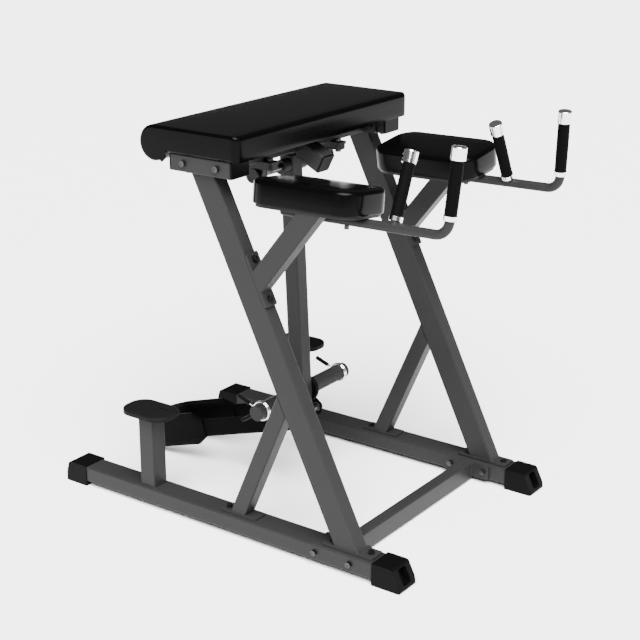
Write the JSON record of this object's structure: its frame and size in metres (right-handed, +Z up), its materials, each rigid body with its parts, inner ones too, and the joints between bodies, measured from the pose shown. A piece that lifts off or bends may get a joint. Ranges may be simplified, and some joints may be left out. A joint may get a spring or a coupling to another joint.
{
  "type": "reverse hyperextension machine",
  "caption": "Steel frame with a hip pad, elbow rests and hand grips over a swinging weight arm with plate horns and an ankle strap.",
  "frame": {"origin": "on the floor, below the middle of the bounding box", "axes": "+X towards the hand grips, +Y to the left of a person lying face down on the pad, +Z up"},
  "size_m": [1.3676, 0.878, 1.2413],
  "materials": {
    "frame_paint": "satin powder coat",
    "black_rubber": "matte moulded rubber",
    "tread_rubber": "matte moulded rubber",
    "pad_vinyl": "glossy black vinyl",
    "plywood": "raw plywood",
    "grip_foam": "fine foam",
    "bright_chrome": "polished chrome",
    "black_plastic": "matte moulded plastic",
    "grey_plastic": "satin moulded plastic",
    "bearing_iron": "painted casting",
    "bare_steel": "turned steel",
    "strap_fabric": "woven nylon webbing",
    "fastener_steel": "dull zinc plate"
  },
  "bodies": {
    "frame": {"base_rail_left": "frame_paint", "base_rail_right": "frame_paint", "bearing_housing_left": "bearing_iron", "bearing_housing_right": "bearing_iron", "bearing_inserts": "bare_steel", "bearing_seals": "black_rubber", "elbow_boards": "plywood", "elbow_pad_left": "pad_vinyl", "elbow_pad_right": "pad_vinyl", "elbow_plate_left": "frame_paint", "elbow_plate_right": "frame_paint", "foot_cap_front_left": "black_rubber", "foot_cap_front_right": "black_rubber", "foot_cap_rear_left": "black_rubber", "foot_cap_rear_right": "black_rubber", "frame_bolts": "fastener_steel", "frame_nuts": "fastener_steel", "front_cross_beam": "frame_paint", "grip_trim": "bright_chrome", "grips_left": "grip_foam", "grips_right": "grip_foam", "handle_bar_left": "frame_paint", "handle_bar_right": "frame_paint", "hip_pad": "pad_vinyl", "hip_pad_board": "plywood", "lower_brace_left": "frame_paint", "lower_brace_right": "frame_paint", "main_leg_left": "frame_paint", "main_leg_right": "frame_paint", "pad_screws": "fastener_steel", "step_pad_left": "tread_rubber", "step_pad_right": "tread_rubber", "step_post_left": "frame_paint", "step_post_right": "frame_paint", "stop_arm": "frame_paint", "stop_bumper": "black_rubber", "top_cross_tube": "frame_paint", "top_side_tube_left": "frame_paint", "top_side_tube_right": "frame_paint", "top_tube_plugs": "black_plastic", "upper_brace_left": "frame_paint", "upper_brace_right": "frame_paint"},
    "pendulum": {"pivot_shaft": "bare_steel", "shaft_collars": "frame_paint", "pendulum_arm": "frame_paint", "pendulum_plugs": "black_plastic", "weight_horn_right": "frame_paint", "weight_horn_left": "frame_paint", "horn_caps": "grey_plastic", "stop_discs": "black_rubber", "strap_pin": "bare_steel"},
    "collar_right": {"collar_outer_coil_right": "bright_chrome", "collar_outer_sleeve_right": "black_plastic"},
    "collar_lever_right": {"collar_inner_coil_right": "bright_chrome", "collar_inner_sleeve_right": "black_plastic"},
    "collar_left": {"collar_outer_coil_left": "bright_chrome", "collar_outer_sleeve_left": "black_plastic"},
    "collar_lever_left": {"collar_inner_coil_left": "bright_chrome", "collar_inner_sleeve_left": "black_plastic"},
    "strap": {"ankle_strap": "strap_fabric"}
  },
  "joints": [
    {"name": "pendulum_swing", "type": "hinge", "parent": "frame", "child": "pendulum", "pos_m": [-0.084, 0, 1.04], "axis": [0, 1, 0], "range_deg": [-25, 92]},
    {"name": "collar_slide_right", "type": "slide", "parent": "pendulum", "child": "collar_right", "axis": [0, -1, 0], "range_m": [0, 0.3]},
    {"name": "collar_squeeze_right", "type": "hinge", "parent": "collar_right", "child": "collar_lever_right", "pos_m": [-0.05053, -0.1987, 0.31677], "axis": [0, 1, 0], "range_deg": [0, 34], "stiffness_Nm_per_rad": 4, "springref_deg": -5.73},
    {"name": "collar_slide_left", "type": "slide", "parent": "pendulum", "child": "collar_left", "axis": [0, 1, 0], "range_m": [0, 0.3]},
    {"name": "collar_squeeze_left", "type": "hinge", "parent": "collar_left", "child": "collar_lever_left", "pos_m": [-0.05053, 0.1987, 0.31677], "axis": [0, 1, 0], "range_deg": [0, 34], "stiffness_Nm_per_rad": 4, "springref_deg": -5.73},
    {"name": "strap_swing", "type": "hinge", "parent": "pendulum", "child": "strap", "pos_m": [-0.04697, 0, 0.23986], "axis": [0, -1, 0], "range_deg": [-55, 65]}
  ]
}
